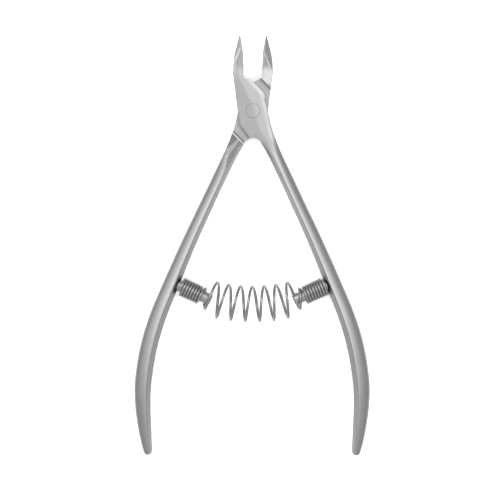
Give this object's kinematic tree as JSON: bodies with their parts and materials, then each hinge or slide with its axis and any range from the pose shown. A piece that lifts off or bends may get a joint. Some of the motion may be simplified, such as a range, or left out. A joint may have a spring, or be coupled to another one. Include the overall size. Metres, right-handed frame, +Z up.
{
  "type": "cuticle nipper",
  "caption": "Steel cuticle nipper: two lap-jointed levers on a flush rivet, bevelled jaws, curved handles and a coil return spring on pegs.",
  "frame": {"origin": "on the pivot axis, at the underside of the joint", "axes": "+X to the right across the handles, +Y to the jaw tips, +Z up through the joint, along the pivot axis"},
  "size_m": [0.062, 0.1106, 0.01],
  "materials": {
    "lever_steel": "satin",
    "rivet_steel": "satin",
    "peg_steel": "turned",
    "spring_wire": "drawn wire"
  },
  "bodies": {
    "front_lever": {"front_lever": "lever_steel", "right_spring_peg": "peg_steel"},
    "rear_lever": {"rear_lever": "lever_steel", "left_spring_peg": "peg_steel", "pivot_rivet": "rivet_steel", "return_spring": "spring_wire"}
  },
  "joints": [
    {"name": "jaw_pivot", "type": "hinge", "parent": "front_lever", "child": "rear_lever", "pos_m": [0, 0, 0.0032], "axis": [0, 0, 1], "range_deg": [-4, 18.4], "stiffness_Nm_per_rad": 1.1, "deforming": ["return_spring"]}
  ]
}
